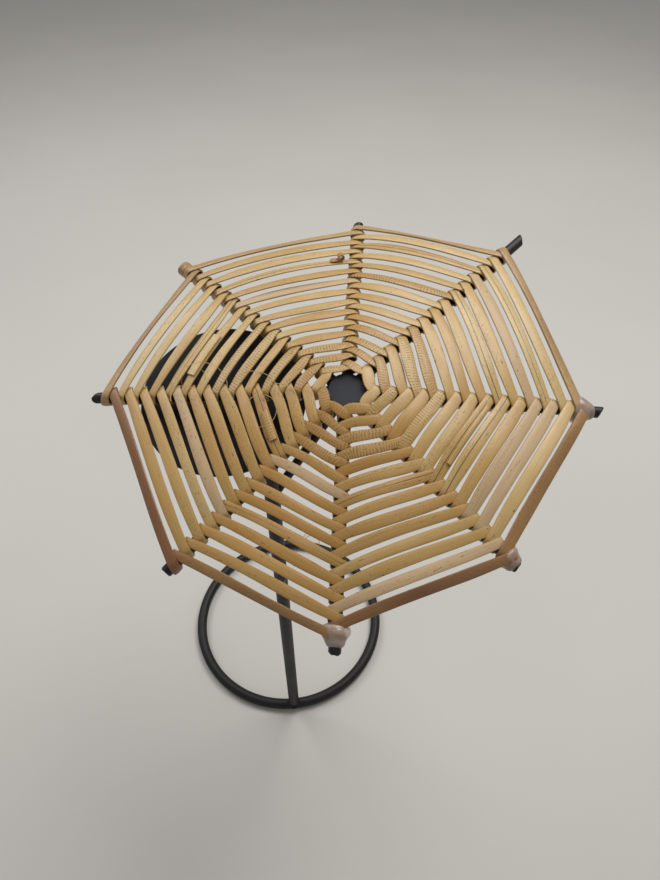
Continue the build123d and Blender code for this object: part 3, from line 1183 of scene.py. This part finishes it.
sleeve_rings = [sleeve_ring(SLEEVE_START, SLEEVE_INNER), sleeve_ring(SLEEVE_START, SLEEVE_OUTER)]
for step in range(1, 9):
    along = SLEEVE_START + (SLEEVE_END - 0.8 * MM - SLEEVE_START) * step / 9
    sleeve_rings.append(sleeve_ring(along, SLEEVE_OUTER * (1 + 0.03 * math.sin(step * 1.7)) * 0.97))
sleeve_rings.append(sleeve_ring(SLEEVE_END, SLEEVE_OUTER * 0.96, 0.5 * MM))
sleeve_rings.append(sleeve_ring(SLEEVE_END, SLEEVE_INNER, 0.5 * MM))
sleeve = skin("hollow_cane_end", sleeve_rings, RIM_CANE, looped=True)


def round_sleeve(point):
    """Where a point is round the sleeve, from -0.9 to 0.9."""
    offset = point - HUB
    return 0.9 * math.sin(math.atan2(offset.dot(sleeve_rod.across), offset.dot(sleeve_rod.up)))


mark_points(sleeve, "along", lambda p: (p - HUB).dot(sleeve_rod.out))
# the cane shader paints shade on the sleeve's flanks from this value
mark_points(sleeve, "side", round_sleeve)
for key, value in (("tint", 0.3), ("crack", 0.5), ("dull", 0.5), ("split", 0.0)):
    mark_points(sleeve, key, lambda p, value=value: value)
place_piece(sleeve, "rim_cane", "cane_sleeve_upper_left")
print("hollow end mm", round((SLEEVE_END - SLEEVE_START) / MM, 1))

# %% [markdown]
# ## Glue
# Clear glue holds the rim at three rods. It ran over the cane and down the rod before it set, so it
# is a smooth lump, thick at the joint and thin at its ends. The material lets light into it, which
# gives it the milky pink look.

# %% Glue shader
GLUE, tree, shader = new_material("set_glue")
place = node(tree, "ShaderNodeTexCoord").outputs["Object"]
cloudy = node(tree, "ShaderNodeTexNoise", {"Vector": place, "Scale": 260.0, "Detail": 3.0})
cloudy = cloudy.outputs["Fac"]
tree.links.new(
    ramp(tree, cloudy, [(0.35, (0.72, 0.52, 0.40)), (0.65, (0.88, 0.76, 0.67))]),
    shader.inputs["Base Color"],
)
clear = maths(tree, "ADD", maths(tree, "MULTIPLY", cloudy, 0.3), 0.45, True)
tree.links.new(clear, shader.inputs["Transmission Weight"])
shader.inputs["Roughness"].default_value = 0.12
shader.inputs["IOR"].default_value = 1.46
bump = node(tree, "ShaderNodeBump", {"Height": cloudy, "Strength": 0.5, "Distance": 0.0006})
tree.links.new(bump.outputs["Normal"], shader.inputs["Normal"])
print("glue shader nodes:", len(tree.nodes))

# %% [markdown]
# ## Three lumps of glue
# Each lump follows its rod a short way. Noise makes its rings uneven, and the three joints have
# different amounts of glue.

# %% Glue lumps
GLUE_AMOUNT = {"right": 1.0, "bottom": 0.75, "lower_right": 0.35}
GLUE_STEPS = 16
rim_turn = turns[RIM]

for rod_name, amount in GLUE_AMOUNT.items():
    rod = RODS[NAMES.index(rod_name)]
    middle = rim_turn.distances[NAMES.index(rod_name)]
    first, last = middle - 4.6 * MM * amount, middle + 5.2 * MM
    glue_rings = []
    for step in range(GLUE_STEPS + 1):
        t = step / GLUE_STEPS
        along = first + (last - first) * t
        swell = math.sin(math.pi * t) ** 0.6 * (1.0 + 0.75 * amount) * MM
        over = 1.35 * MM * (1 - smooth((along - middle) / (3.4 * MM)))
        reach = rod.radius + 0.15 * MM + swell + over * smooth(t * 5)
        centre = HUB + rod.out * along

        def lumpy(angle, reach=reach, seed=along):
            wave = noise.noise(Vector((math.cos(angle), math.sin(angle), seed / 0.003)))
            return reach * (1 + 0.1 * wave)

        glue_rings.append(ring_of(centre, rod.up, rod.across, lumpy, 32))
    place_piece(skin(f"glue_lump_{rod_name}", glue_rings, GLUE), "glue", f"glue_{rod_name}")
print("glue lumps:", len(GLUE_AMOUNT))

# %% [markdown]
# ## Loose fibres
# Thin fibres split off the cane and wander over it in loops, most of them near the left rod and a
# few below the front. Each is a random walk that keeps turning the same way, swept with the same
# tree as the cane, but only as thick as a hair.

# %% Fibres
FIBRE_SIZE = (0.24 * MM, 0.2 * MM)
FIBRE_STEPS = 60


def fibre(name, start, heading, up, length, turning):
    """A hair that starts at a point, wanders near the weave, and keeps curling."""
    path, faces = [start], [up]
    sweep_angle, climb = 0.0, 0.0
    side = up.cross(heading).normalized()
    for step in range(FIBRE_STEPS):
        sweep_angle += turning * (0.6 + 0.8 * CHANCE.random()) / FIBRE_STEPS
        climb = 0.92 * climb + CHANCE.uniform(-0.12, 0.12)
        way = heading * math.cos(sweep_angle) + side * math.sin(sweep_angle) + up * climb
        path.append(path[-1] + way.normalized() * length / FIBRE_STEPS)
        faces.append(up)
    marks = plain_marks(len(path), 0.45)
    piece = sweep(name, path, faces, [1.0] * len(path), marks, FIBRE_SIZE, CANE, False, 6)
    place_piece(piece, "cane")


# (number of the turn, share of the way round, rise over the weave in mm, length in mm, turning)
FIBRES = (
    (7, 5.9, 2.0, 34, 3.5),
    (6, 5.7, 2.2, 30, -4.5),
    (8, 6.05, 2.1, 26, 5.0),
    (5, 5.8, 2.4, 22, -3.0),
    (9, 5.85, 2.0, 20, 4.0),
    (6, 6.2, 2.2, 24, -2.5),
    (10, 4.2, -2.5, 14, 3.0),
    (10, 4.3, -2.2, 11, -4.0),
    (9, 4.25, -2.6, 9, 3.5),
    (13, 4.35, -1.5, 10, -2.5),
)
for index, (number, place, rise, length, turning) in enumerate(FIBRES, start=1):
    turn = turns[ROUNDS[number - 1]]
    nearest = min(range(len(turn.place)), key=lambda i: abs(turn.place[i] - place))
    start = turn.points[nearest] + UP * rise * MM
    heading = (HUB - start).normalized().lerp(RODS[int(place) % len(RODS)].across, 0.5)
    heading = (heading - UP * heading.dot(UP)).normalized()
    fibre(f"fibre_{index:02d}", start, heading, UP, length * MM, turning)
print("fibres:", len(FIBRES))
